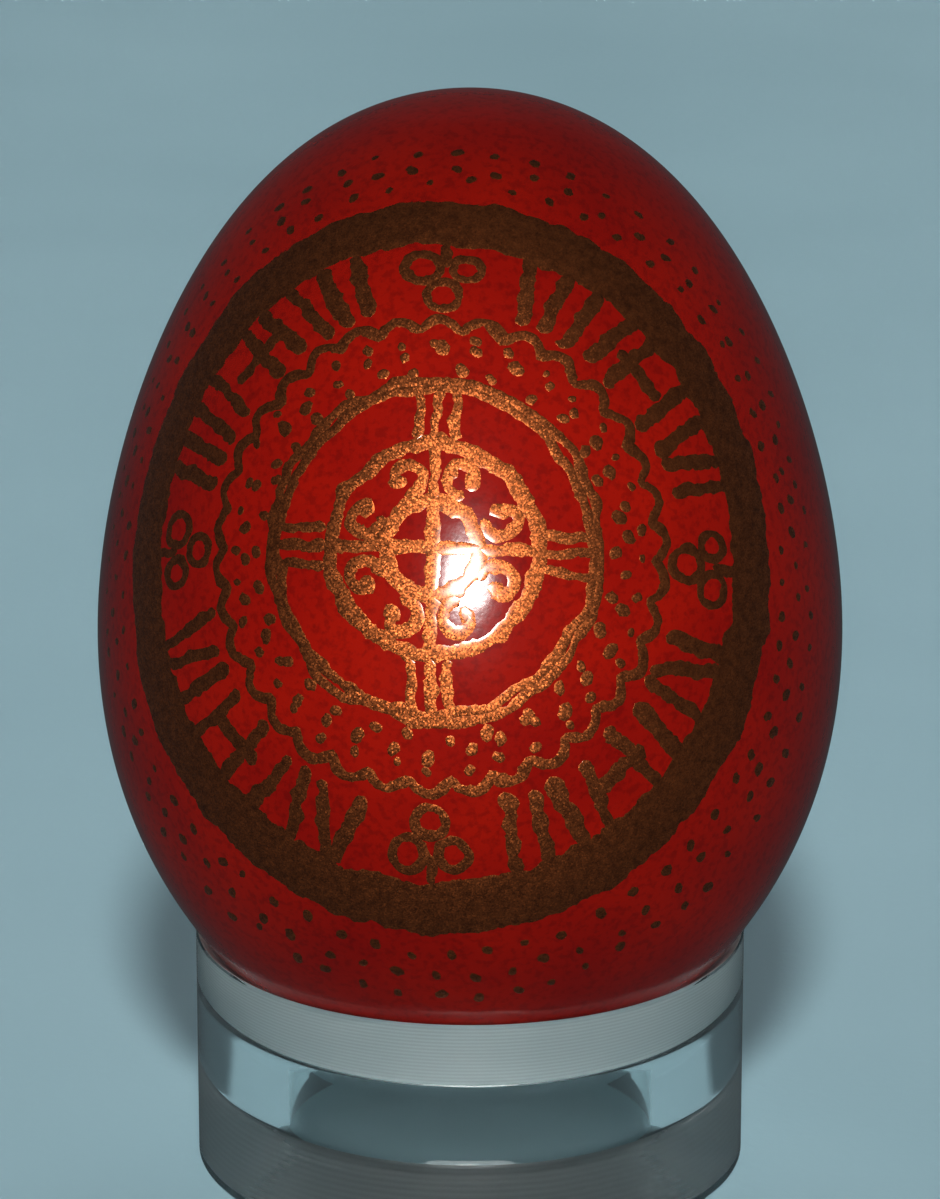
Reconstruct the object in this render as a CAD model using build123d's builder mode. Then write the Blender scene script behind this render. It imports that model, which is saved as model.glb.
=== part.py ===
from build123d import *

import math
import os

# A blown, dyed and painted egg standing on its blunt end in a clear turned ring.
# Units are millimetres. The origin is the centre of the ring's foot, +Z is up and the
# front medallion faces -Y. Every piece is written to parts/ as a STEP file of its own.

# ---- the egg ----
EGG_WIDTH = 42.5
EGG_LENGTH = 57.8
TAPER = (-0.097, -0.023, 0.103)  # how the outline departs from an ellipse, by powers of cos
SHELL_WALL = 0.38
MEMBRANE_WALL = 0.07
BLOW_HOLE_RADIUS = 1.3
PLUG_BEAD_RADIUS = 2.2
PLUG_BEAD_HEIGHT = 0.5
PLUG_BEAD_ROUNDING = 0.3
PLUG_CLEARANCE = 0.02
OUTLINE_SPANS = 28  # spline spans from pole to pole
SEAM_TURN = 120  # keeps the seams of nested surfaces apart

# ---- the display ring ----
RING_RADIUS = 15.9
BORE_RADIUS = 10.6
RING_HEIGHT = 13.8
RIM_LAND = 0.2  # flat left at the top edge, outside the seat
FOOT_BEVEL = 3.8  # 45 degree bevel round the foot's inner edge
FOOT_EDGE = 0.15  # break on the foot's outer corner
SEAT_ANGLE = 45.0
SEAT_CLEARANCE = 0.05  # between the egg and its seat, square to the seat

# ---- the gold medallions: distances from the hub are measured along the shell ----
HUB_ABOVE_CENTRE = 8.7
VARNISH = 0.01  # clear coat between the dyed shell and the paint
LIFT = 0.06  # thickness of the metallic paint
RING_SAG = 0.0032  # each ring's middle sits lower than the hub by this times its radius squared
BAND_RADII = (17.8, 21.1)
COMB_RADII = (13.6, 17.78)
SCALLOP_RADIUS = 12.35  # of the points between the arches
SCALLOP_DEPTH = 0.75  # how far each arch bulges towards the band
SCALLOP_COUNT = 34
MIDDLE_RING_RADII = (8.6, 9.3)
INNER_RING_RADII = (5.3, 6.1)
HUB_RADII = (2.0, 3.0)
STROKE = 0.7
FINE_STROKE = 0.56
CROSS_RADIUS = 15.6
CROSS_ARM = 1.9
LOOP_RADIUS = 0.85
LOOP_RADII_FROM_HUB = (14.7, 16.3)
LOOP_SPREAD = 4.4  # degrees either side of the quarter line
SCROLL_COUNT = 8
SCROLL_RADIUS = 4.15
SCROLL_SIZE = 0.72
BRIDGE_SPREAD = 8.5  # degrees from one bridge stroke to the next
BRIDGE_GAP = 0.02  # left between the bridges and the rings either side
QUARTERS = (0, 90, 180, 270)
COMB_ANGLES = (17, 23, 29, 36, 54, 61, 67, 73)  # strokes between one loop group and the next


def egg_section(angle):
    """Radius and height, from the egg's middle, at a polar angle from the pointed end."""
    c = math.cos(angle)
    swell = 1 + TAPER[0] * c + TAPER[1] * c**2 + TAPER[2] * c**3
    return math.sin(angle) * swell, EGG_LENGTH / 2 * c


WIDEST = max(egg_section(math.pi * i / 720)[0] for i in range(721))


def egg_point(angle, offset=0.0):
    """(radius, height) of the outline, moved outwards along its normal by offset."""
    step = 1e-4
    scale = EGG_WIDTH / 2 / WIDEST
    radius, height = egg_section(angle)
    (r0, z0), (r1, z1) = egg_section(angle - step), egg_section(angle + step)
    out = (-(z1 - z0), (r1 - r0) * scale)
    size = math.hypot(*out)
    return radius * scale + offset * out[0] / size, height + offset * out[1] / size


def steepness(angle):
    """Degrees by which the outline departs from level: 0 at the poles, 90 at the widest."""
    (r0, z0), (r1, z1) = egg_point(angle - 1e-4), egg_point(angle + 1e-4)
    return math.degrees(math.atan2(z0 - z1, abs(r1 - r0)))


def polar_angle_where(test, low, high):
    """Bisects for the polar angle at which test turns from true to false."""
    for _ in range(50):
        middle = (low + high) / 2
        low, high = (middle, high) if test(middle) else (low, middle)
    return (low + high) / 2


# The seat is a cone that the blunt end touches where the shell itself slopes at the seat's angle.
touch = polar_angle_where(lambda a: steepness(a) > SEAT_ANGLE, math.pi / 2, math.pi - 0.01)
touch_radius, touch_height = egg_point(touch, SEAT_CLEARANCE)
SEAT_TOP_RADIUS = RING_RADIUS - RIM_LAND
seat_slope = math.tan(math.radians(SEAT_ANGLE))
EGG_CENTRE = RING_HEIGHT - (SEAT_TOP_RADIUS - touch_radius) * seat_slope - touch_height
SEAT_DEPTH = (SEAT_TOP_RADIUS - BORE_RADIUS) * seat_slope

hub_angle = polar_angle_where(lambda a: egg_point(a)[1] > HUB_ABOVE_CENTRE, 0.01, math.pi / 2)
hub_height = EGG_CENTRE + HUB_ABOVE_CENTRE
hub_tilt = math.radians(90 - steepness(hub_angle))  # how far the hub's normal rises above level
around = EGG_WIDTH / 2  # the shell's radius of curvature from side to side, near the hub
along = EGG_LENGTH**2 / 2 / EGG_WIDTH  # and its radius of curvature from top to bottom


def outline(offset):
    """The egg's outline from the pointed pole to the blunt one, as one spline."""
    at = [egg_point(math.pi * i / OUTLINE_SPANS, offset) for i in range(1, OUTLINE_SPANS)]
    top = EGG_CENTRE + EGG_LENGTH / 2 + offset
    bottom = EGG_CENTRE - EGG_LENGTH / 2 - offset
    middle = [(r, EGG_CENTRE + z) for r, z in at]
    return Spline((0, top), *middle, (0, bottom), tangents=((1, 0), (-1, 0)))


def turned_egg(outer, inner=None):
    """A solid egg at an offset from the shell's outside, or the skin between two offsets."""
    with BuildPart() as egg:
        with BuildSketch(Plane.XZ):
            with BuildLine():
                skin = outline(outer)
                Line(skin @ 1, skin @ 0)
            make_face()
        revolve(axis=Axis.Z)
        if inner is not None:
            add(Rot(0, 0, SEAM_TURN) * turned_egg(inner).part, mode=Mode.SUBTRACT)
    return egg


def save(piece, name):
    """Labels a finished piece and writes it to parts/."""
    piece.part.label = name
    export_step(piece.part, f"parts/{name}.step")


os.makedirs("parts", exist_ok=True)

# ---------------------------------------------------------------- the shell and what is in it
blunt_pole = EGG_CENTRE - EGG_LENGTH / 2

eggshell = turned_egg(0.0, -SHELL_WALL)
with eggshell:
    with Locations((0, 0, blunt_pole)):
        Cylinder(BLOW_HOLE_RADIUS, 4 * SHELL_WALL, mode=Mode.SUBTRACT)
save(eggshell, "eggshell")

shell_membrane = turned_egg(-SHELL_WALL, -SHELL_WALL - MEMBRANE_WALL)
with shell_membrane:
    with Locations((0, 0, blunt_pole)):
        Cylinder(BLOW_HOLE_RADIUS, 4 * SHELL_WALL, mode=Mode.SUBTRACT)
save(shell_membrane, "shell_membrane")

lining = -SHELL_WALL - MEMBRANE_WALL
bead_edge = polar_angle_where(lambda a: egg_point(a, lining)[0] > PLUG_BEAD_RADIUS, math.pi / 2, math.pi)
bead_foot = EGG_CENTRE + egg_point(bead_edge, lining)[1] + PLUG_CLEARANCE
with BuildPart() as blow_hole_plug:
    with BuildSketch(Plane.XY.offset(blunt_pole - 1)):
        Circle(BLOW_HOLE_RADIUS - PLUG_CLEARANCE)
    extrude(amount=bead_foot - blunt_pole + 1)
    add(turned_egg(0.0).part, mode=Mode.INTERSECT)
    with BuildSketch(Plane.XY.offset(bead_foot)):
        Circle(PLUG_BEAD_RADIUS)
    extrude(amount=PLUG_BEAD_HEIGHT)
    fillet(blow_hole_plug.edges().group_by(Axis.Z)[-1], PLUG_BEAD_ROUNDING)
save(blow_hole_plug, "blow_hole_plug")

# ---------------------------------------------------------------- the display ring
with BuildPart() as stand_ring:
    with BuildSketch(Plane.XZ):
        with BuildLine():
            Polyline(
                (RING_RADIUS - FOOT_EDGE, 0),
                (RING_RADIUS, FOOT_EDGE),
                (RING_RADIUS, RING_HEIGHT),
                (SEAT_TOP_RADIUS, RING_HEIGHT),
                (BORE_RADIUS, RING_HEIGHT - SEAT_DEPTH),
                (BORE_RADIUS, FOOT_BEVEL),
                (BORE_RADIUS + FOOT_BEVEL, 0),
                close=True,
            )
        make_face()
    revolve(axis=Axis.Z)
save(stand_ring, "stand_ring")

# ---------------------------------------------------------------- the gold medallions
paint_top = turned_egg(VARNISH + LIFT)
paint_bed = turned_egg(VARNISH)


def half_axes(radius):
    """Half width and half height, seen from the front, of a ring of that radius on the shell."""
    return around * math.sin(radius / around), along * math.sin(radius / along) * math.cos(hub_tilt)


def ring_drop(radius):
    """How far that ring's middle, seen from the front, is below the hub."""
    rise = radius**2 / 2 / along * math.sin(hub_tilt)
    return RING_SAG * radius**2 + rise


def seen(radius, angle):
    """Where a point at a distance and angle from the hub appears from the front, as (x, z)."""
    half_width, half_height = half_axes(radius)
    turn = math.radians(angle)
    return half_width * math.cos(turn), hub_height - ring_drop(radius) + half_height * math.sin(turn)


def laid_on(sketch):
    """The front paint that a sketch, seen from the front, marks out on the shell."""
    with BuildPart() as paint:
        extrude(sketch, amount=EGG_WIDTH)
        add(paint_top.part, mode=Mode.INTERSECT)
        add(paint_bed.part, mode=Mode.SUBTRACT)
    return paint


def ring(radii):
    """The front view of a ring between two radii."""
    with BuildSketch(Plane.XZ) as flat:
        for radius, mode in ((radii[1], Mode.ADD), (radii[0], Mode.SUBTRACT)):
            with Locations((0, hub_height - ring_drop(radius))):
                Ellipse(*half_axes(radius), mode=mode)
    return flat.sketch


def stroke_between(radii, angle, arc):
    """Adds to the sketch a stroke that fills an arc, in degrees, between two radii."""
    low, high = angle - arc / 2, angle + arc / 2
    corners = [seen(radii[0], low), seen(radii[1], low), seen(radii[1], high), seen(radii[0], high)]
    Polygon(*corners, align=None)


def arc_of(width, radius):
    """The angle, in degrees, that a width takes up at a distance from the hub."""
    return math.degrees(width / radius)


def comb_strokes():
    """Radial strokes between the scalloped line and the border band."""
    with BuildSketch(Plane.XZ) as flat:
        for quarter in QUARTERS:
            for angle in COMB_ANGLES:
                stroke_between(COMB_RADII, quarter + angle, arc_of(STROKE, CROSS_RADIUS))
    return flat.sketch


def corner_crosses():
    """One cross half way between each pair of loop groups, with a stem and a bar."""
    bar_radii = (CROSS_RADIUS - STROKE / 2, CROSS_RADIUS + STROKE / 2)
    with BuildSketch(Plane.XZ) as flat:
        for quarter in QUARTERS:
            stroke_between(COMB_RADII, quarter + 45, arc_of(STROKE, CROSS_RADIUS))
            stroke_between(bar_radii, quarter + 45, arc_of(2 * CROSS_ARM, CROSS_RADIUS))
    return flat.sketch


def loop_trefoils():
    """Three small loops at each quarter: one towards the hub, two side by side at the band."""
    inner, outer = LOOP_RADII_FROM_HUB
    middles = [
        seen(radius, quarter + aside)
        for quarter in QUARTERS
        for radius, aside in ((inner, 0), (outer, -LOOP_SPREAD), (outer, LOOP_SPREAD))
    ]
    with BuildSketch(Plane.XZ) as flat:
        with Locations(*middles):
            Circle(LOOP_RADIUS)
        with Locations(*middles):
            Circle(LOOP_RADIUS - STROKE / 2, mode=Mode.SUBTRACT)
    return flat.sketch


def scallop_line():
    """A wavy line whose arches bulge towards the border band."""
    span = 360 / SCALLOP_COUNT
    with BuildSketch(Plane.XZ) as flat:
        for side, mode in ((1, Mode.ADD), (-1, Mode.SUBTRACT)):
            low = SCALLOP_RADIUS + side * FINE_STROKE / 2
            with BuildLine():
                for i in range(SCALLOP_COUNT):
                    crown = seen(low + SCALLOP_DEPTH, (i + 0.5) * span)
                    ThreePointArc(seen(low, i * span), crown, seen(low, (i + 1) * span))
            make_face(mode=mode)
    return flat.sketch


def bridges():
    """Three short strokes across the plain zone at each quarter."""
    radii = (INNER_RING_RADII[1] + BRIDGE_GAP, MIDDLE_RING_RADII[0] - BRIDGE_GAP)
    with BuildSketch(Plane.XZ) as flat:
        for quarter in QUARTERS:
            for aside in (-BRIDGE_SPREAD, 0, BRIDGE_SPREAD):
                stroke_between(radii, quarter + aside, arc_of(STROKE, radii[1]))
    return flat.sketch


def scrolls():
    """C-shaped curls with ball ends between the hub wheel and the inner ring."""
    with BuildSketch() as curl:
        with BuildLine():
            spine = CenterArc((0, 0), SCROLL_SIZE, -115, 230)
        trace(line_width=FINE_STROKE)
        with Locations(spine @ 0, spine @ 1):
            Circle(STROKE / 2)
    with BuildSketch(Plane.XZ) as flat:
        for i in range(SCROLL_COUNT):
            angle = 360 * (i + 0.5) / SCROLL_COUNT
            with Locations(Location((*seen(SCROLL_RADIUS, angle), 0), (0, 0, angle))):
                add(curl.sketch)
    return flat.sketch


def hub_wheel():
    """The ring at the middle with a plain cross in it."""
    with BuildSketch(Plane.XZ) as flat:
        with Locations((0, hub_height)):
            Circle(HUB_RADII[1])
            Circle(HUB_RADII[0], mode=Mode.SUBTRACT)
            Rectangle(2 * HUB_RADII[1] - STROKE, STROKE)
            Rectangle(STROKE, 2 * HUB_RADII[1] - STROKE)
    return flat.sketch


MOTIFS = {
    "border_band": ring(BAND_RADII),
    "comb_strokes": comb_strokes(),
    "corner_crosses": corner_crosses(),
    "loop_trefoils": loop_trefoils(),
    "scallop_line": scallop_line(),
    "middle_ring": ring(MIDDLE_RING_RADII),
    "bridges": bridges(),
    "inner_ring": ring(INNER_RING_RADII),
    "scrolls": scrolls(),
    "hub_wheel": hub_wheel(),
}

for motif, sketch in MOTIFS.items():
    front = laid_on(sketch)
    save(front, f"front_{motif}")
    with BuildPart() as back:
        add(front.part.rotate(Axis.Z, 180))
    save(back, f"back_{motif}")
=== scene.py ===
"""Looks for the dyed egg with gold medallions, standing in its clear display ring.

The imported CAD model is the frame. Lengths below are millimetres unless a name says
otherwise, and become metres when a mesh is made.
"""

import math

import bpy
import numpy as np
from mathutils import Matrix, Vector


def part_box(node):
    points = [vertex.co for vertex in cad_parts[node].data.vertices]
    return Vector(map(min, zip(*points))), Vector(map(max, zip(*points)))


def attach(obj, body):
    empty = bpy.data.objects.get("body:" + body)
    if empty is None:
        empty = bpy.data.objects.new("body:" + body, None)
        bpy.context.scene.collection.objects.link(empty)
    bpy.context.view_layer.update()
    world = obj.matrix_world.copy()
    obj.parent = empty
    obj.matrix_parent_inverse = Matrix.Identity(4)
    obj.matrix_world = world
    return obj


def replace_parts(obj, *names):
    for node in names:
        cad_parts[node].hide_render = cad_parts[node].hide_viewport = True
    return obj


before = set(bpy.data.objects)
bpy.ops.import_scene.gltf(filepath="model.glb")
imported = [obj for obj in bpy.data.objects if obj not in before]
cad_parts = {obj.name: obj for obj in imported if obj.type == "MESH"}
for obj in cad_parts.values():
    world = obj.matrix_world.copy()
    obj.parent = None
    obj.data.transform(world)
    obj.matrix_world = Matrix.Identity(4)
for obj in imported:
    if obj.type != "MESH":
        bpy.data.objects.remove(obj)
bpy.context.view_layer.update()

MM = 0.001


def span(node):
    """Lowest and highest corners of a CAD node, in millimetres."""
    return [np.array(corner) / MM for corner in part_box(node)]


# ---- the egg's own surface ----
shell_low, shell_high = span("eggshell")
WIDTH = shell_high[0] - shell_low[0]
LENGTH = shell_high[2] - shell_low[2]
CENTRE = (shell_high[2] + shell_low[2]) / 2
TAPER = (-0.097, -0.023, 0.103)  # how the outline departs from an ellipse, by powers of cos
SHELL_WALL = 0.38
HOLE_RADIUS = 1.3
SHELL_ROWS = 260  # points of the outline from the pointed end to the hole
SHELL_TURNS = 384  # facets round it
LINING_SKIP = 4  # the inside keeps one point in this many
POLE_GAP = 0.001  # keeps the first ring of points off the axis

# ---- the ring's turned faces ----
BORE_RADIUS = 10.6
RIM_LAND = 0.2  # flat left at the top edge, outside the seat
FOOT_BEVEL = 3.8
EDGE_BREAK = 0.1
RING_FACET = 0.6  # longest facet along the ring's section
RING_TURNS = 256

# ---- how the paint lies ----
HUB_HEIGHT = 8.7  # above the egg's middle
RING_SAG = 0.0036  # each ring's middle sits lower than the hub by this times its radius squared
RELIEF = 0.011  # height of a stroke's crown above the shell
TUCK = 0.004  # how far a stroke's edges dip under the shell's surface
GRAIN = 0.0005  # unevenness of the paint's surface
STEP = 0.14  # spacing of the points along a stroke
SEED = 11
ROUND_CROWN, FLAT_CROWN = 3, 12  # powers that shape the section of a line and of a flat band
LANES = (-1, -0.92, -0.72, -0.38, 0, 0.38, 0.72, 0.92, 1)  # points across a line, by half widths
FLAT_RIM = 0.35  # width of a flat band's sloping rims
FLAT_LANES = 15  # points across a flat band between its rims
SWAY = 1.6  # a stroke drifts from its path over about this length
RAGGED = ((0.75, 0.09), (0.22, 0.05))  # lengths and sizes of the unevenness of a stroke's edges
RAGGED_WIDTH = 0.9  # wider strokes have edges no more ragged than this one's
DOT_RIM = 11  # points round a dot
DOT_NOISE, DOT_SQUASH = 0.09, 0.14  # how far out of round a dot is
DOT_SHARES = (1.0, 0.86, 0.5)  # radii of a dot's rows of points
DOT_LIFTS = (-TUCK, RELIEF * 0.55, RELIEF * 0.95)  # and their heights

# ---- the medallion: distances from the hub, measured along the shell ----
BAND_RADIUS = 19.45
BAND_WIDTH = 3.3
COMB_RADII = (13.7, 18.1)
COMB_ANGLES = (17, 23, 29, 36, 54, 61, 67, 73)  # strokes from one loop group to the next
COMB_LEAN = 1.3  # degrees, the usual lean of a stroke
COMB_WIDTH = 0.9
SCALLOP_RADIUS = 12.35
SCALLOP_DEPTH = 0.75
SCALLOP_COUNT = 34
LINE = 0.65
CROSS_RADIUS = 15.7
CROSS_ARM = 1.85
CROSS_WIDTH = 0.9
LOOP_RADIUS = 0.85
LOOP_RADII = (14.5, 16.3)
LOOP_ASIDE = 1.3  # of the two loops against the band, either side of the quarter line
MIDDLE_RADII = (8.8, 9.2)
MIDDLE_WIDTH = 0.66
INNER_RADIUS = 5.7
INNER_WIDTH = 0.95
HUB_RADIUS = 2.55
HUB_WIDTH = 1.05
BRIDGE_GAP = 0.95
SCROLL_RADIUS = 4.15
SCROLL_COUNT = 8
SCROLL_WIDTH = 0.78
CURL_START, CURL_SWEEP = 205, 300  # degrees
CURL_SIZE, CURL_TIGHTENING = 1.1, 0.62  # a curl's radius, and how much of it is lost by its end
BALL_RADIUS = 0.5
FIELD_ROWS = ((10.0, 30, 0.36), (10.9, 34, 0.38), (11.7, 36, 0.27))  # radius, count, dot radius
HALO_ROWS = ((22.5, 62, 0.31), (24.0, 66, 0.33), (25.5, 68, 0.31))
QUARTERS = (0, 90, 180, 270)


# ---------------------------------------------------------------- the shell's surface
def swell(c):
    """The outline's departure from an ellipse, at the cosine of a polar angle."""
    return 1 + TAPER[0] * c + TAPER[1] * c**2 + TAPER[2] * c**3


cosines = np.linspace(-1, 1, 4001)
WIDEST = np.max(np.sqrt(1 - cosines**2) * swell(cosines))
CAST_NEAREST = 5.0  # shorter than any ray to the shell from the inside point
CAST_HALVINGS = 24


def radius_at(height):
    """The shell's radius at a height from the egg's middle."""
    c = np.clip(height / (LENGTH / 2), -1, 1)
    return WIDTH / 2 * np.sqrt(1 - c**2) * swell(c) / WIDEST


def normals_at(points):
    """Unit normals of the shell at points given from the egg's middle."""
    step = 0.01
    slope = (radius_at(points[:, 2] + step) - radius_at(points[:, 2] - step)) / (2 * step)
    across = points[:, :2] / np.maximum(np.hypot(points[:, 0], points[:, 1]), 1e-9)[:, None]
    normals = np.column_stack([across, -slope])
    return normals / np.linalg.norm(normals, axis=1)[:, None]


hub = np.array([[0, -radius_at(HUB_HEIGHT), HUB_HEIGHT]])
hub_out = normals_at(hub)[0]
hub_right = np.array([1.0, 0.0, 0.0])
hub_up = np.cross(hub_right, -hub_out)
inside = hub[0] - hub_out * WIDTH / 2  # a point well inside, straight in from the hub


def cast(turn, bearing):
    """Where rays from the inside point meet the shell: turn from the hub's normal, towards bearing."""
    sideways = np.cos(bearing)[..., None] * hub_right + np.sin(bearing)[..., None] * hub_up
    rays = np.cos(turn)[..., None] * hub_out + np.sin(turn)[..., None] * sideways
    near, far = np.full(turn.shape, CAST_NEAREST), np.full(turn.shape, LENGTH)
    for _ in range(CAST_HALVINGS):
        middle = (near + far) / 2
        at = inside + rays * middle[..., None]
        outside = np.hypot(at[..., 0], at[..., 1]) > radius_at(at[..., 2])
        near, far = np.where(outside, near, middle), np.where(outside, middle, far)
    return inside + rays * near[..., None]


# For each bearing, the turn that reaches each distance along the shell
BEARINGS, DISTANCES, REACH = 144, 280, 30.0
bearings = np.linspace(0, 2 * math.pi, BEARINGS + 1)
turns = np.linspace(0, math.radians(115), 240)
sections = cast(*np.broadcast_arrays(turns[None, :], bearings[:, None]))
steps = np.linalg.norm(np.diff(sections, axis=1), axis=2)
runs = np.concatenate([np.zeros((BEARINGS + 1, 1)), np.cumsum(steps, axis=1)], axis=1)
distances = np.linspace(0, REACH, DISTANCES + 1)
turn_to_reach = np.array([np.interp(distances, run, turns) for run in runs])


def on_shell(plane_points, lift):
    """Where plane points, measured right and up from the hub, lie on the shell, lifted off it."""
    u, v = plane_points[:, 0], plane_points[:, 1]
    v = v - RING_SAG * (u**2 + v**2)
    bearing = np.arctan2(v, u) % (2 * math.pi)
    row = bearing / (2 * math.pi) * BEARINGS
    column = np.clip(np.hypot(u, v), 0, REACH - 0.01) / REACH * DISTANCES
    r, c = row.astype(int) % BEARINGS, column.astype(int)
    a, b = row - row.astype(int), column - c
    table = turn_to_reach
    turn = (table[r, c] * (1 - b) + table[r, c + 1] * b) * (1 - a)
    turn += (table[r + 1, c] * (1 - b) + table[r + 1, c + 1] * b) * a
    at = cast(turn, bearing)
    return at + normals_at(at) * np.asarray(lift)[:, None]


# ---------------------------------------------------------------- meshes
CREASE = 32  # edges that turn by more degrees than this are shaded sharp


def new_mesh(name, points, faces, body, slot):
    """A smooth-shaded piece on a body, from points in millimetres."""
    mesh = bpy.data.meshes.new(name)
    mesh.from_pydata((np.asarray(points) * MM).tolist(), [], [list(map(int, f)) for f in faces])
    mesh.polygons.foreach_set("use_smooth", [True] * len(mesh.polygons))
    mesh.set_sharp_from_angle(angle=math.radians(CREASE))
    mesh.update()
    piece = bpy.data.objects.new(name, mesh)
    bpy.context.scene.collection.objects.link(piece)
    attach(piece, body)
    return piece


def grid_faces(rows, columns, closed_rows=False, closed_columns=False):
    """Quads over a grid of points stored row by row."""
    r = np.arange(rows if closed_rows else rows - 1)
    c = np.arange(columns if closed_columns else columns - 1)
    r, c = (x.ravel() for x in np.meshgrid(r, c, indexing="ij"))
    r1, c1 = (r + 1) % rows, (c + 1) % columns
    return np.column_stack([r * columns + c, r * columns + c1, r1 * columns + c1, r1 * columns + c])


def lathe(profile, turns):
    """Points and faces of a closed profile of (radius, height) turned about Z."""
    angle = np.linspace(0, 2 * math.pi, turns, endpoint=False)
    radius, height = np.array(profile).T
    x = np.cos(angle)[:, None] * radius
    y = np.sin(angle)[:, None] * radius
    points = np.stack([x, y, np.broadcast_to(height, x.shape)], axis=-1).reshape(-1, 3)
    return points, grid_faces(turns, len(profile), True, True)


# ---------------------------------------------------------------- brush work
class Brush:
    """Collects the raised strokes and dots of one motif."""

    def __init__(self, seed):
        self.random = np.random.default_rng(SEED + seed)
        self.plane, self.lifts, self.faces, self.count = [], [], [], 0

    def wander(self, length, scale, size):
        """Smooth random values along a stroke, one for each STEP, changing over about scale."""
        knots = max(int(length / scale) + 3, 4)
        values = self.random.normal(0, size, knots)
        at = np.linspace(0, knots - 1.001, max(int(length / STEP) + 1, 2))
        low = at.astype(int)
        blend = (1 - np.cos((at - low) * math.pi)) / 2
        return values[low] * (1 - blend) + values[low + 1] * blend

    def add(self, plane, lift, faces):
        """Keeps a patch of points and faces."""
        self.plane.append(plane)
        self.lifts.append(lift)
        self.faces.extend((np.asarray(f) + self.count).tolist() for f in faces)
        self.count += len(plane)

    def stroke(self, path, width, closed=False, shake=0.05, flat=False):
        """One pull of the brush along a path, with uneven edges and rounded ends."""
        path = np.asarray(path, float)
        if closed:
            path = np.vstack([path, path[:1]])
        run = np.concatenate([[0], np.cumsum(np.hypot(*np.diff(path, axis=0).T))])
        count = max(int(run[-1] / STEP) + 1, 4)
        at = np.linspace(0, run[-1], count)
        line = np.column_stack([np.interp(at, run, path[:, k]) for k in (0, 1)])
        along = np.gradient(line, axis=0)
        if closed:
            along[0] = along[-1] = line[1] - line[-2]
        along /= np.hypot(*along.T)[:, None]
        square = np.column_stack([-along[:, 1], along[:, 0]])

        def uneven(scale, size):
            values = np.resize(self.wander(run[-1] + STEP, scale, size), count)
            if closed:  # bring the end back to the start
                ease = np.clip((run[-1] - at) / (2 * scale), 0, 1)
                values = values * ease + values[0] * (1 - ease)
            return values

        line = line + square * uneven(SWAY, shake)[:, None]
        sides = []
        for _ in range(2):
            rough = sum(uneven(scale, size) for scale, size in RAGGED) * min(width, RAGGED_WIDTH)
            sides.append(width / 2 + rough)
        if not closed:
            tip = width / 2
            from_end = np.minimum(at, run[-1] - at) / tip
            taper = np.sqrt(np.clip(1 - (1 - np.clip(from_end, 0, 1)) ** 2, 1e-4, 1))
            sides = [side * taper for side in sides]
        lanes = np.array(LANES)
        if flat:
            rim = FLAT_RIM / width
            middle = np.linspace(-1 + rim, 1 - rim, FLAT_LANES)
            lanes = np.concatenate([[-1, -1 + rim / 2], middle, [1 - rim / 2, 1]])
        crown = (1 - np.abs(lanes) ** (FLAT_CROWN if flat else ROUND_CROWN)) * (RELIEF + TUCK) - TUCK
        reach = np.where(lanes < 0, sides[0][:, None] * lanes, sides[1][:, None] * lanes)
        plane = line[:, None, :] + square[:, None, :] * reach[:, :, None]
        lift = np.broadcast_to(crown, reach.shape).copy()
        grain = self.random.normal(0, GRAIN, reach.shape)
        lift[:, 1:-1] += grain[:, 1:-1]
        if closed:
            plane, lift = plane[:-1], lift[:-1]
        rows, columns = lift.shape
        faces = grid_faces(rows, columns, closed, True)
        self.add(plane.reshape(-1, 2), lift.ravel(), faces)

    def ring(self, radius, width, bulge=None, **how):
        """A closed stroke round the hub. bulge adds to the radius at each angle."""
        angle = np.linspace(0, 2 * math.pi, max(int(2 * math.pi * radius / STEP), 16), endpoint=False)
        reach = radius + (bulge(angle) if bulge else 0)
        self.stroke(np.column_stack([reach * np.cos(angle), reach * np.sin(angle)]), width, True, **how)

    def dot(self, centre, size):
        """A small blob of paint, a little out of round."""
        rim, rows = DOT_RIM, len(DOT_SHARES)
        angle = np.linspace(0, 2 * math.pi, rim, endpoint=False) + self.random.uniform(0, 1)
        uneven = 1 + self.random.normal(0, DOT_NOISE, rim)
        uneven += DOT_SQUASH * np.cos(2 * angle + self.random.uniform(0, 6))
        edge = np.column_stack([np.cos(angle), np.sin(angle)]) * (size * uneven)[:, None]
        plane = np.vstack([edge * share for share in DOT_SHARES] + [[[0, 0]]]) + centre
        lift = np.repeat(DOT_LIFTS, rim).tolist() + [RELIEF]
        faces = grid_faces(rows, rim, False, True).tolist()
        top, crown = (rows - 1) * rim, rows * rim
        faces += [[top + k, top + (k + 1) % rim, crown] for k in range(rim)]
        faces.append(list(range(rim))[::-1])
        self.add(plane, np.array(lift), faces)

    def pieces(self, motif):
        """The finished motif on the front and, turned half way round, on the back."""
        front = on_shell(np.vstack(self.plane), np.concatenate(self.lifts)) + [0, 0, CENTRE]
        made = []
        for side, turn in (("front", 1), ("back", -1)):
            name, points = f"{side}_{motif}", front * [turn, turn, 1]
            made.append(new_mesh(f"{name}_paint", points, self.faces, "egg", "gold_paint"))
            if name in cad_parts:
                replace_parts(made[-1], name)
        return made


def polar(radius, degrees):
    """A plane point at a distance and angle from the hub."""
    angle = math.radians(degrees)
    return np.array([radius * math.cos(angle), radius * math.sin(angle)])


def turned(points, degrees):
    """Plane points turned about the hub."""
    c, s = math.cos(math.radians(degrees)), math.sin(math.radians(degrees))
    return np.asarray(points) @ np.array([[c, s], [-s, c]])


def border_band(brush):
    """The broad band round the medallion."""
    brush.ring(BAND_RADIUS, BAND_WIDTH, shake=0.12, flat=True)


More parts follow.
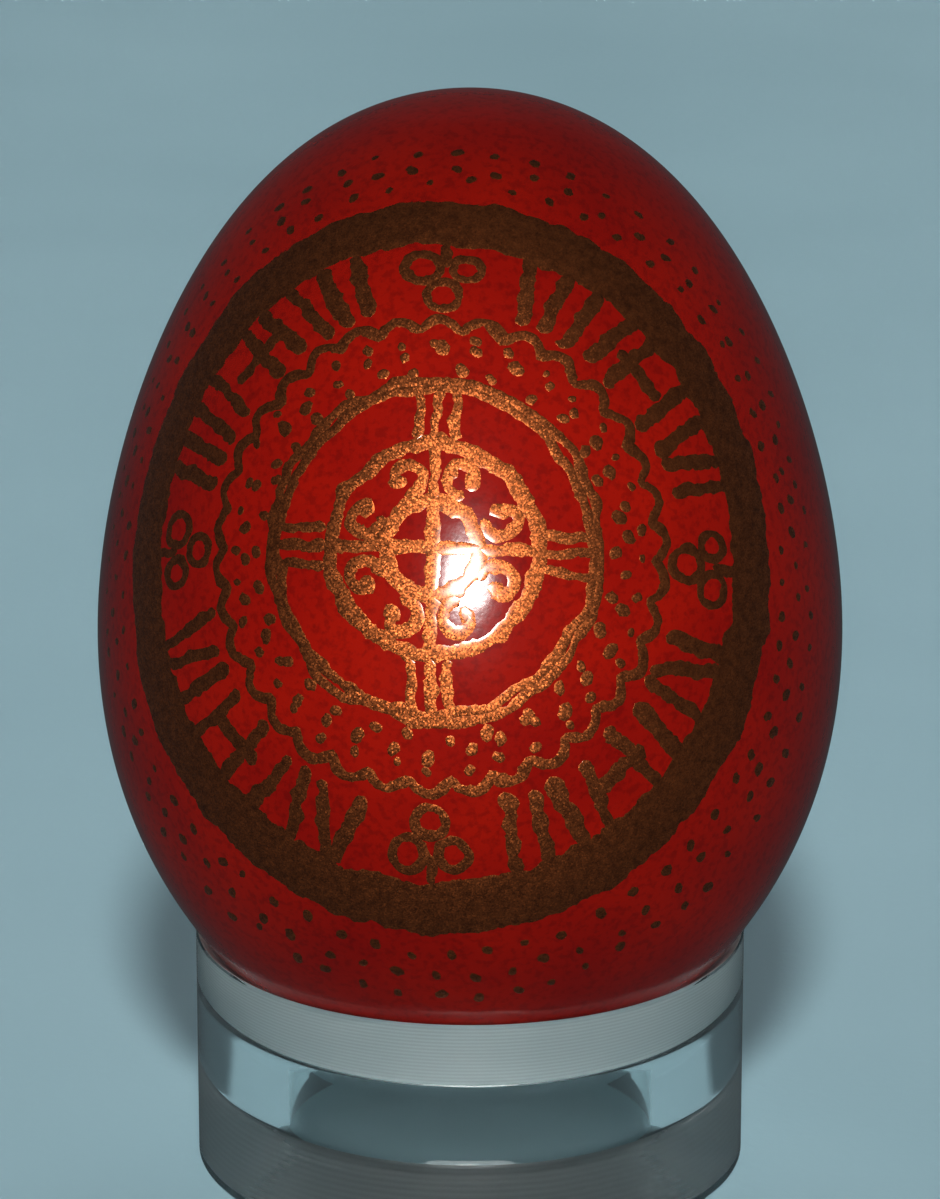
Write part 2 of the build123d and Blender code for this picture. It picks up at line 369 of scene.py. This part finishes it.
def comb_strokes(brush):
    """Short strokes that hang from the band towards the scalloped line."""
    for quarter in QUARTERS:
        for angle in COMB_ANGLES:
            lean = brush.random.normal(0, COMB_LEAN)
            start = COMB_RADII[0] + brush.random.uniform(-0.3, 0.4)
            path = [polar(start, quarter + angle + lean), polar(COMB_RADII[1], quarter + angle - lean)]
            brush.stroke(path, COMB_WIDTH * brush.random.uniform(0.85, 1.2))


def corner_crosses(brush):
    """A cross half way between each pair of loop groups, with one arm against the band."""
    for quarter in QUARTERS:
        stem = [(COMB_RADII[0] - 0.3, 0), (COMB_RADII[1], 0)]
        bar = [(CROSS_RADIUS, -CROSS_ARM), (CROSS_RADIUS, CROSS_ARM)]
        for path in (stem, bar):
            brush.stroke(turned(path, quarter + 45 + brush.random.normal(0, 1.5)), CROSS_WIDTH)


def loop_trefoils(brush):
    """Three small loops at each quarter: one towards the hub, two against the band."""
    angle = np.linspace(0, 2 * math.pi, 40, endpoint=False)
    loop = np.column_stack([np.cos(angle), np.sin(angle)]) * LOOP_RADIUS
    for quarter in QUARTERS:
        for centre in ((LOOP_RADII[0], 0), (LOOP_RADII[1], -LOOP_ASIDE), (LOOP_RADII[1], LOOP_ASIDE)):
            stretch = brush.random.uniform(0.9, 1.15, 2)
            brush.stroke(turned(loop * stretch + centre, quarter), LINE * 0.9, True)
        brush.stroke(turned([(LOOP_RADII[1], 0), (COMB_RADII[1], 0)], quarter), LINE)


def scallop_line(brush):
    """The wavy line whose arches bulge towards the band."""
    def arches(angle):
        return SCALLOP_DEPTH * np.abs(np.sin(angle * SCALLOP_COUNT / 2))

    brush.ring(SCALLOP_RADIUS, LINE, arches, shake=0.08)


def middle_ring(brush):
    """Two thin strokes that run together and part again."""
    for radius in MIDDLE_RADII:
        brush.ring(radius, MIDDLE_WIDTH, shake=0.13)


def bridges(brush):
    """Three strokes across the plain zone at each quarter."""
    for quarter in QUARTERS:
        for aside in (-BRIDGE_GAP, 0, BRIDGE_GAP):
            lean = brush.random.normal(0, 0.12)
            path = [(INNER_RADIUS + 0.2, aside + lean), (MIDDLE_RADII[0] + 0.1, aside * 1.1 - lean)]
            brush.stroke(turned(path, quarter), LINE * brush.random.uniform(0.85, 1.15), shake=0.08)


def inner_ring(brush):
    """The ring round the scrolls."""
    brush.ring(INNER_RADIUS, INNER_WIDTH, shake=0.1)


def scrolls(brush):
    """Curls with ball ends, in mirrored pairs either side of a stem at each quarter."""
    t = np.linspace(0, 1, 40)
    angle = np.radians(CURL_START - CURL_SWEEP * t)
    coil = CURL_SIZE - CURL_TIGHTENING * t
    curl = np.column_stack([SCROLL_RADIUS + coil * np.cos(angle), coil * np.sin(angle)])
    for i in range(SCROLL_COUNT):
        path = curl * [1, 1 if i % 2 else -1] * brush.random.uniform(0.97, 1.03)
        path = turned(path, 360 * (i + 0.5) / SCROLL_COUNT + brush.random.normal(0, 1.5))
        brush.stroke(path, SCROLL_WIDTH)
        brush.dot(path[-1], BALL_RADIUS)
    for quarter in QUARTERS:
        brush.stroke(turned([(HUB_RADIUS, 0), (INNER_RADIUS, 0)], quarter), SCROLL_WIDTH)


def hub_wheel(brush):
    """The thick ring at the middle with a cross in it."""
    brush.ring(HUB_RADIUS, HUB_WIDTH, shake=0.08)
    for turn in (0, 90):
        brush.stroke(turned([(-HUB_RADIUS, 0), (HUB_RADIUS, 0)], turn), SCROLL_WIDTH, shake=0.08)


def rows_of_dots(brush, rows, jitter):
    """Staggered rows of dots round the hub."""
    for row, (radius, count, size) in enumerate(rows):
        for i in range(count):
            at = polar(radius, 360 * (i + 0.5 * (row % 2)) / count) + brush.random.normal(0, jitter, 2)
            brush.dot(at, size * brush.random.uniform(0.75, 1.3))


MOTIFS = {
    "border_band": border_band,
    "comb_strokes": comb_strokes,
    "corner_crosses": corner_crosses,
    "loop_trefoils": loop_trefoils,
    "scallop_line": scallop_line,
    "middle_ring": middle_ring,
    "bridges": bridges,
    "inner_ring": inner_ring,
    "scrolls": scrolls,
    "hub_wheel": hub_wheel,
    "field_dots": lambda brush: rows_of_dots(brush, FIELD_ROWS, 0.2),
    "halo_dots": lambda brush: rows_of_dots(brush, HALO_ROWS, 0.22),
}


# ---------------------------------------------------------------- materials
class Material:
    """A node material, with short calls for the nodes used here. Sizes are in metres."""

    def __init__(self, name):
        self.material = bpy.data.materials.new(name)
        self.material.use_nodes = True
        self.tree = self.material.node_tree
        self.shader = self.tree.nodes["Principled BSDF"]
        self.place = self.node("ShaderNodeTexCoord").outputs["Object"]

    def node(self, kind, links=(), **values):
        """A node with some inputs linked or set by name, and attributes set by name."""
        made = self.tree.nodes.new(kind)
        for key, value in values.items():
            setattr(made, key, value)
        for socket, source in dict(links).items():
            target = made.inputs[socket]
            if isinstance(source, bpy.types.NodeSocket):
                self.tree.links.new(source, target)
            else:
                target.default_value = source
        return made

    def noise(self, size, detail=3.0, roughness=0.55):
        """Noise whose blotches are about size metres across."""
        inputs = {"Vector": self.place, "Scale": 1 / size, "Detail": detail, "Roughness": roughness}
        return self.node("ShaderNodeTexNoise", inputs).outputs["Fac"]

    def cells(self, size):
        """A random colour and a distance for each cell about size metres across."""
        return self.node("ShaderNodeTexVoronoi", {"Vector": self.place, "Scale": 1 / size})

    def ramp(self, source, *stops):
        """A colour ramp with stops of (position, colour)."""
        made = self.node("ShaderNodeValToRGB", {"Fac": source})
        elements = made.color_ramp.elements
        while len(elements) < len(stops):
            elements.new(0.5)
        for element, (position, colour) in zip(elements, stops):
            element.position = position
            element.color = (*colour, 1)
        return made.outputs["Color"]

    def multiply(self, share, a, b):
        """A colour multiplied by another, by a share."""
        made = self.node("ShaderNodeMix", data_type="RGBA", blend_type="MULTIPLY")
        for socket, source in ((made.inputs[0], share), (made.inputs[6], a), (made.inputs[7], b)):
            if isinstance(source, bpy.types.NodeSocket):
                self.tree.links.new(source, socket)
            else:
                socket.default_value = source
        return made.outputs[2]

    def bump(self, height, depth, under=None):
        """A bump of depth metres, over another one if given."""
        links = {"Height": height, "Distance": depth, "Strength": 1.0}
        if under is not None:
            links["Normal"] = under
        return self.node("ShaderNodeBump", links).outputs["Normal"]

    def set(self, **inputs):
        """Sets or links the main shader's inputs. An underscore stands for a space."""
        for key, source in inputs.items():
            socket = self.shader.inputs[key.replace("_", " ")]
            if isinstance(source, bpy.types.NodeSocket):
                self.tree.links.new(source, socket)
            else:
                socket.default_value = source


def dyed_shell():
    """Red dye taken up unevenly by the shell, under a clear gloss varnish."""
    m = Material("dyed_shell")
    cloud = m.ramp(m.noise(0.009), (0.3, (0.34, 0.0030, 0.0006)), (0.7, (0.48, 0.0075, 0.0005)))
    speckle = m.ramp(m.noise(0.00045, 2), (0.34, (0.6, 0.5, 0.6)), (0.52, (1, 1, 1)))
    pores = m.ramp(m.cells(0.0011).outputs["Distance"], (0.05, (0.55, 0.5, 0.5)), (0.16, (1, 1, 1)))
    colour = m.multiply(0.65, cloud, speckle)
    colour = m.multiply(0.5, colour, pores)
    peel = m.bump(m.noise(0.0012), 0.00001)
    m.set(Base_Color=colour, Roughness=0.5, IOR=1.5, Specular_IOR_Level=0.02)
    m.set(Coat_Weight=1.0, Coat_Roughness=0.12, Coat_IOR=1.5, Coat_Normal=peel)
    m.set(Normal=m.bump(m.noise(0.00035), 0.00002, under=peel))
    return m.material


FLAKE = 0.00008  # metres across each metal flake in the paint
FLAKE_TILT = 0.31  # how far the flakes lean from the surface


def gold_paint():
    """Metallic flakes in a brown lacquer, coarse enough to sparkle."""
    m = Material("gold_paint")
    flakes = m.cells(FLAKE)
    worn = m.ramp(m.noise(0.0005, 4, 0.7), (0.30, (0.34, 0.086, 0.022)), (0.62, (0.70, 0.182, 0.048)))
    bright = m.ramp(flakes.outputs["Color"], (0.15, (0.34, 0.30, 0.26)), (0.85, (1.0, 0.97, 0.9)))
    colour = m.multiply(0.8, worn, bright)
    normal = m.node("ShaderNodeNewGeometry").outputs["Normal"]
    random, middle = flakes.outputs["Color"], (0.5, 0.5, 0.5)
    centred = m.node("ShaderNodeVectorMath", {0: random, 1: middle}, operation="SUBTRACT")
    tilt = m.node("ShaderNodeVectorMath", {0: centred.outputs[0], "Scale": FLAKE_TILT}, operation="SCALE")
    mixed = m.node("ShaderNodeVectorMath", {0: normal, 1: tilt.outputs[0]}, operation="ADD")
    facing = m.node("ShaderNodeVectorMath", {0: mixed.outputs[0]}, operation="NORMALIZE").outputs[0]
    m.set(Base_Color=colour, Metallic=0.96, Roughness=0.43, Normal=facing)
    m.set(Coat_Weight=0.6, Coat_Roughness=0.14, Coat_IOR=1.5)
    return m.material


def dried_membrane():
    """Papery skin with fine fibres."""
    m = Material("dried_membrane")
    colour = m.ramp(m.noise(0.0012, 5), (0.3, (0.62, 0.55, 0.45)), (0.7, (0.84, 0.8, 0.72)))
    m.set(Base_Color=colour, Roughness=0.75, Normal=m.bump(m.noise(0.0003, 4), 0.00003))
    return m.material


def sealing_wax():
    """Dark red wax, softly uneven."""
    m = Material("sealing_wax")
    colour = m.ramp(m.noise(0.0008), (0.3, (0.16, 0.008, 0.006)), (0.7, (0.26, 0.016, 0.01)))
    m.set(Base_Color=colour, Roughness=0.4, Subsurface_Weight=0.15)
    m.set(Normal=m.bump(m.noise(0.0005), 0.00005))
    return m.material


def polished_acrylic():
    """Clear acrylic with a few fine scuffs."""
    m = Material("polished_acrylic")
    scuffs = m.ramp(m.noise(0.002, 6, 0.7), (0.45, (0.02, 0.02, 0.02)), (0.75, (0.09, 0.09, 0.09)))
    m.set(Base_Color=(0.9, 0.96, 0.96, 1), Transmission_Weight=1.0, IOR=1.49, Roughness=scuffs)
    return m.material


GROOVES = 1100.0  # wave scale that gives the lathe's fine rings


def turned_acrylic(name, clear, tone_and_painted_shade):
    """Acrylic left satin by the lathe, with fine rings and a highlight drawn out across them. A low last
    argument darkens the base colour as painted shade.
    """
    m = Material(name)
    wave = {"Vector": m.place, "Scale": GROOVES, "Distortion": 0.3, "Detail": 3.0}
    rings = m.node("ShaderNodeTexWave", wave)
    rings.wave_type, rings.bands_direction = "BANDS", "Z"
    # the base colour's brightness follows the last argument: the acrylic's own near white, or painted
    # shade where it is set low
    dark, light = [(0.92 * t, t, t) for t in (tone_and_painted_shade * 0.85, tone_and_painted_shade)]
    streaks = m.ramp(rings.outputs["Fac"], (0.2, dark), (0.8, light))
    around = m.node("ShaderNodeTangent", direction_type="RADIAL", axis="Z").outputs["Tangent"]
    m.set(Base_Color=streaks, Transmission_Weight=clear, IOR=1.49, Roughness=0.36)
    m.set(Anisotropic=0.8, Anisotropic_Rotation=0.25, Tangent=around)
    m.set(Normal=m.bump(rings.outputs["Fac"], 0.000003))
    return m.material


def pale_sheet():
    """The pale blue-grey sheet that the egg stands on."""
    m = Material("pale_sheet")
    colour = m.ramp(m.noise(0.05, 2), (0.3, (0.39, 0.60, 0.67)), (0.7, (0.42, 0.64, 0.71)))
    m.set(Base_Color=colour, Roughness=0.8, Normal=m.bump(m.noise(0.0008, 4), 0.00003))
    return m.material


# ---------------------------------------------------------------- pieces
def dress(piece, *materials):
    """Gives a piece its materials in place of any that it has."""
    piece.data.materials.clear()
    for material in materials:
        piece.data.materials.append(material)


def eggshell_piece():
    """The shell, outside and inside, with the blow hole at its blunt end."""
    hole = math.pi - math.asin(HOLE_RADIUS / (WIDTH / 2))
    polar_angles = np.linspace(POLE_GAP, hole, SHELL_ROWS)
    section = np.column_stack([np.sin(polar_angles), np.cos(polar_angles)])
    outside = np.column_stack([radius_at(section[:, 1] * LENGTH / 2), section[:, 1] * LENGTH / 2])
    points = np.column_stack([outside[:, 0], np.zeros(len(outside)), outside[:, 1]])
    inward = normals_at(points)[:, [0, 2]] * SHELL_WALL
    lining = (outside - inward)[::-LINING_SKIP]
    lining[:, 0] = np.maximum(lining[:, 0], POLE_GAP)
    profile = np.vstack([outside, lining]) + [0, CENTRE]
    piece = new_mesh("painted_shell", *lathe(profile, SHELL_TURNS), "egg", "dyed_shell")
    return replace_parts(piece, "eggshell")


def ring_piece():
    """The clear ring: polished walls, satin seat and foot, and small breaks on every corner."""
    high = span("stand_ring")[1]
    outer, height = high[0], high[2]
    bore, land, foot, edge = BORE_RADIUS, RIM_LAND, FOOT_BEVEL, EDGE_BREAK
    seat = outer - land - bore  # the seat slopes at 45 degrees, so it is as deep as it is wide
    polished, seat_finish, foot_finish = 0, 1, 2
    corners = [  # radius, height, finish of the side that follows
        (outer - edge, 0.0, polished),
        (outer, edge, polished),
        (outer, height - edge, polished),
        (outer - edge, height, seat_finish),
        (outer - land - edge, height - edge, seat_finish),
        (bore + edge, height - seat + edge, polished),
        (bore, height - seat - edge, polished),
        (bore, foot + edge, foot_finish),
        (bore + edge, foot - edge, foot_finish),
        (bore + foot, 0.0, foot_finish),
    ]
    profile, finishes = [], []
    for (r0, z0, finish), (r1, z1, _) in zip(corners, corners[1:] + corners[:1]):
        steps = max(int(math.hypot(r1 - r0, z1 - z0) / RING_FACET), 1)
        for k in range(steps):
            share = k / steps
            profile.append((r0 + (r1 - r0) * share, z0 + (z1 - z0) * share))
            finishes.append(finish)
    points, faces = lathe(profile[::-1], RING_TURNS)
    piece = new_mesh("clear_ring", points, faces, "stand", "clear_ring")
    by_side = finishes[-2::-1] + finishes[-1:]
    by_face = [by_side[k % len(profile)] for k in range(len(faces))]
    seat_look = turned_acrylic("turned_seat", clear=0.25, tone_and_painted_shade=0.95)
    # the foot's copy is painted dark: painted shade for the shadow under the egg inside the ring, while
    # the seat keeps the acrylic's own near white
    foot_look_painted_shade = turned_acrylic("turned_foot_painted_shade", clear=0.85, tone_and_painted_shade=0.25)
    dress(piece, polished_acrylic(), seat_look, foot_look_painted_shade)
    piece.data.polygons.foreach_set("material_index", by_face)
    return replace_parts(piece, "stand_ring")


SHEET_REACH = 2.5  # metres from the egg to each side


def floor():
    """A broad pale sheet under everything."""
    mesh = bpy.data.meshes.new("floor_sheet")
    signs = ((-1, -1), (1, -1), (1, 1), (-1, 1))
    corners = [(x * SHEET_REACH, y * SHEET_REACH, 0) for x, y in signs]
    mesh.from_pydata(corners, [], [(0, 1, 2, 3)])
    sheet = bpy.data.objects.new("floor_sheet", mesh)
    bpy.context.scene.collection.objects.link(sheet)
    dress(sheet, pale_sheet())
    sheet.visible_diffuse = sheet.visible_glossy = False  # keeps the sheet out of the varnish
    return sheet


# ---------------------------------------------------------------- light and camera
def look_from(thing, place, aim):
    """Puts a light or camera at a place, facing aim. Both are in metres."""
    thing.location = place
    thing.rotation_mode = "QUATERNION"
    thing.rotation_quaternion = (Vector(aim) - Vector(place)).to_track_quat("-Z", "Y")


def direction(azimuth, elevation):
    """The unit vector towards an azimuth and elevation. Azimuth 0 is the front, -Y."""
    a, e = math.radians(azimuth), math.radians(elevation)
    return Vector((math.sin(a) * math.cos(e), -math.cos(a) * math.cos(e), math.sin(e)))


def area_light(name, azimuth, elevation, distance, size, power, colour, aim=None, fan=180):
    """A round soft light placed round the egg, aimed at it or elsewhere, that fans out by degrees."""
    data = bpy.data.lights.new(name, "AREA")
    data.shape, data.size, data.energy, data.color = "DISK", size, power, colour
    data.spread = math.radians(fan)
    lamp = bpy.data.objects.new(name, data)
    bpy.context.scene.collection.objects.link(lamp)
    middle = Vector((0, 0, CENTRE * MM))
    look_from(lamp, middle + direction(azimuth, elevation) * distance, aim or middle)
    return lamp


CAMERA_AZIMUTH = 5.9
CAMERA_ELEVATION = 18.0
CAMERA_DISTANCE = 0.340
CAMERA_LENS, SENSOR_WIDTH = 179.0, 36.0
AIM_DROP = 0.0006  # the frame's middle is a little under the egg's


def camera():
    """A long lens from a little above the egg."""
    data = bpy.data.cameras.new("camera")
    data.lens, data.sensor_width = CAMERA_LENS, SENSOR_WIDTH
    data.clip_start, data.clip_end = 0.01, 20
    made = bpy.data.objects.new("camera", data)
    bpy.context.scene.collection.objects.link(made)
    middle = Vector((0, 0, CENTRE * MM))
    place = middle + direction(CAMERA_AZIMUTH, CAMERA_ELEVATION) * CAMERA_DISTANCE
    look_from(made, place, middle - Vector((0, 0, AIM_DROP)))
    bpy.context.scene.camera = made


WARM_WHITE = (1.0, 0.98, 0.95)
COOL_WHITE = (0.97, 0.99, 1.0)
SURROUNDINGS, SURROUNDINGS_STRENGTH = (0.62, 0.8, 0.88, 1), 0.06
FLASH_WIDTH, FLASH_HEIGHT = 0.09, 0.055
SOFTBOXES = {  # azimuth, elevation, distance, size, power, colour
    "front": (CAMERA_AZIMUTH, 42, 1.8, 0.2, 20.0, COOL_WHITE),
    "back": (180, 50, 0.7, 0.4, 0.8, COOL_WHITE),
    "ring": (CAMERA_AZIMUTH, 14, 0.7, 0.6, 5.0, WARM_WHITE),
    "rear": (CAMERA_AZIMUTH + 180, 30, 0.7, 0.35, 2.4, WARM_WHITE),
}


def light_only(lamp, pieces):
    """Keeps a lamp's light to some pieces. Everything still casts shadows from it."""
    receivers = bpy.data.collections.new(f"lit by {lamp.name}")
    for piece in pieces:
        receivers.objects.link(piece)
    lamp.light_linking.receiver_collection = receivers


def studio(sheet, ring, shell, paints):
    """A small light beside the lens, dim surroundings, and soft lights kept to some pieces each."""
    world = bpy.data.worlds.new("studio")
    world.use_nodes = True
    around = world.node_tree.nodes["Background"].inputs
    around["Color"].default_value = SURROUNDINGS
    around["Strength"].default_value = SURROUNDINGS_STRENGTH
    bpy.context.scene.world = world
    medallion = (0, 0, (CENTRE + HUB_HEIGHT) * MM)
    sheet_behind = (0, 0.25, 0)
    flash = area_light(
        "flash", azimuth=CAMERA_AZIMUTH - 1, elevation=10.4, distance=0.36, size=FLASH_WIDTH,
        power=0.0122, colour=WARM_WHITE, aim=medallion, fan=15.8,
    )
    flash.data.shape, flash.data.size_y = "ELLIPSE", FLASH_HEIGHT
    light_only(area_light("front softbox", *SOFTBOXES["front"]), [sheet, ring])
    light_only(area_light("back softbox", *SOFTBOXES["back"], sheet_behind), [sheet, ring])
    light_only(area_light("ring softbox", *SOFTBOXES["ring"]), [ring])
    back_paints = [paint for paint in paints if paint.name.startswith("back")]
    for name, pieces in (("dye from behind", [shell]), ("paint from behind", back_paints)):
        rear = area_light(name, *SOFTBOXES["rear"])
        rear.visible_glossy = pieces is back_paints  # no glare from behind on the egg's crown
        light_only(rear, pieces)
    bpy.context.scene.view_settings.view_transform = "Standard"


# ---------------------------------------------------------------- the scene
eggshell = eggshell_piece()
dress(eggshell, dyed_shell())
gold, painted = gold_paint(), []
for seed, (motif, draw) in enumerate(MOTIFS.items()):
    brush = Brush(seed)
    draw(brush)
    painted += brush.pieces(motif)
for piece in painted:
    dress(piece, gold)
dress(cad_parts["shell_membrane"], dried_membrane())
dress(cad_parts["blow_hole_plug"], sealing_wax())
studio(floor(), ring_piece(), eggshell, painted)
camera()

bpy.context.view_layer.update()
